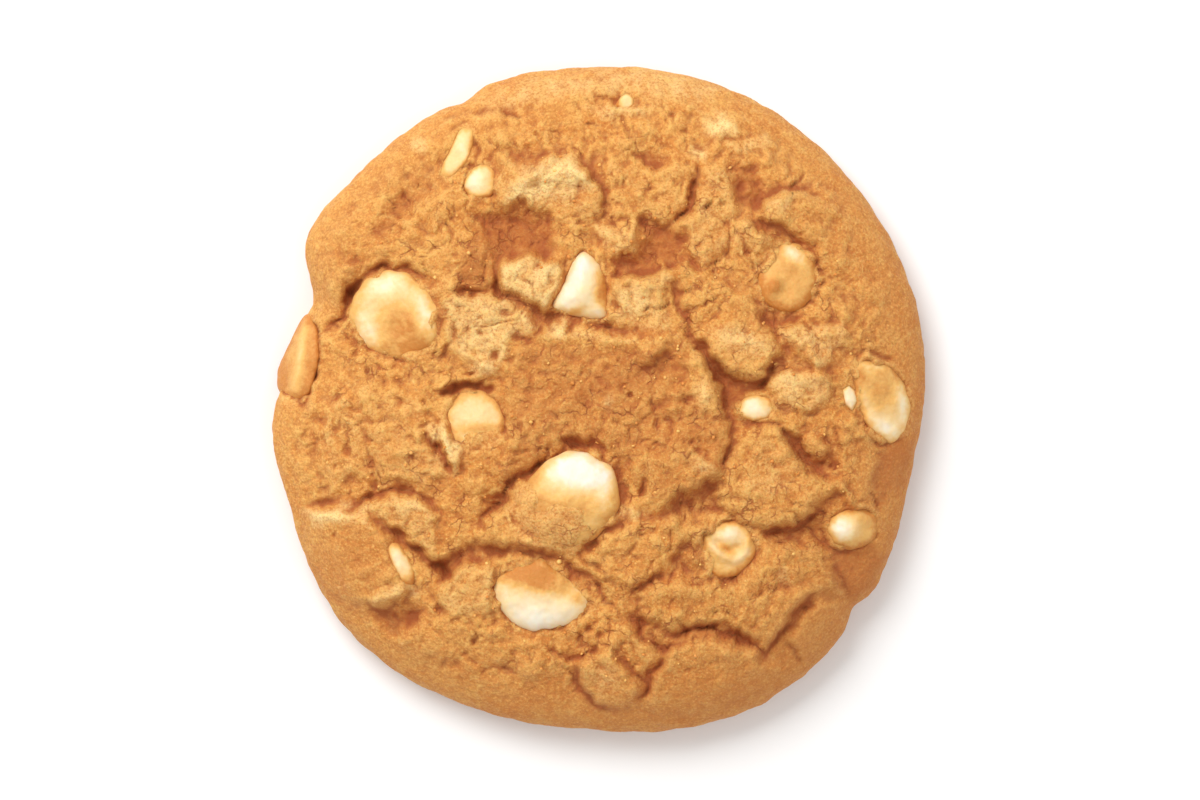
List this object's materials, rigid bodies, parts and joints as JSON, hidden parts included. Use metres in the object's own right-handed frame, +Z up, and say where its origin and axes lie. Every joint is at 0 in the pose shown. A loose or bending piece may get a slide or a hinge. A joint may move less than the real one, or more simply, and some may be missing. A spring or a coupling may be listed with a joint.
{
  "type": "white chocolate macadamia cookie",
  "caption": "Round soft-baked cookie with a domed, cracked top, white chocolate chips and macadamia pieces set in it, and a flat underside.",
  "frame": {"origin": "middle of the flat underside", "axes": "+Z up out of the domed top, +X to the right and +Y to the top of the cookie seen from above"},
  "size_m": [0.0783, 0.08, 0.0157],
  "materials": {
    "dough": "matte, grainy baked dough",
    "white_chocolate": "soft satin white chocolate",
    "macadamia": "matte cream nut with toasted edges"
  },
  "bodies": {
    "root": {"cookie_dough": "dough", "wafer_upper_left": "white_chocolate", "pointed_chip": "white_chocolate", "chip_left_middle": "white_chocolate", "wafer_lower": "white_chocolate", "wafer_right": "white_chocolate", "sliver_right": "white_chocolate", "chip_right_low": "white_chocolate", "swirl_chip": "white_chocolate", "chip_upper_right": "white_chocolate", "chip_top_left": "white_chocolate", "small_chip_right": "white_chocolate", "chip_edge_lower_left": "white_chocolate", "nut_middle": "macadamia", "nut_sliver": "macadamia", "nut_bit_top": "macadamia", "nut_left_rim": "macadamia"}
  },
  "joints": []
}
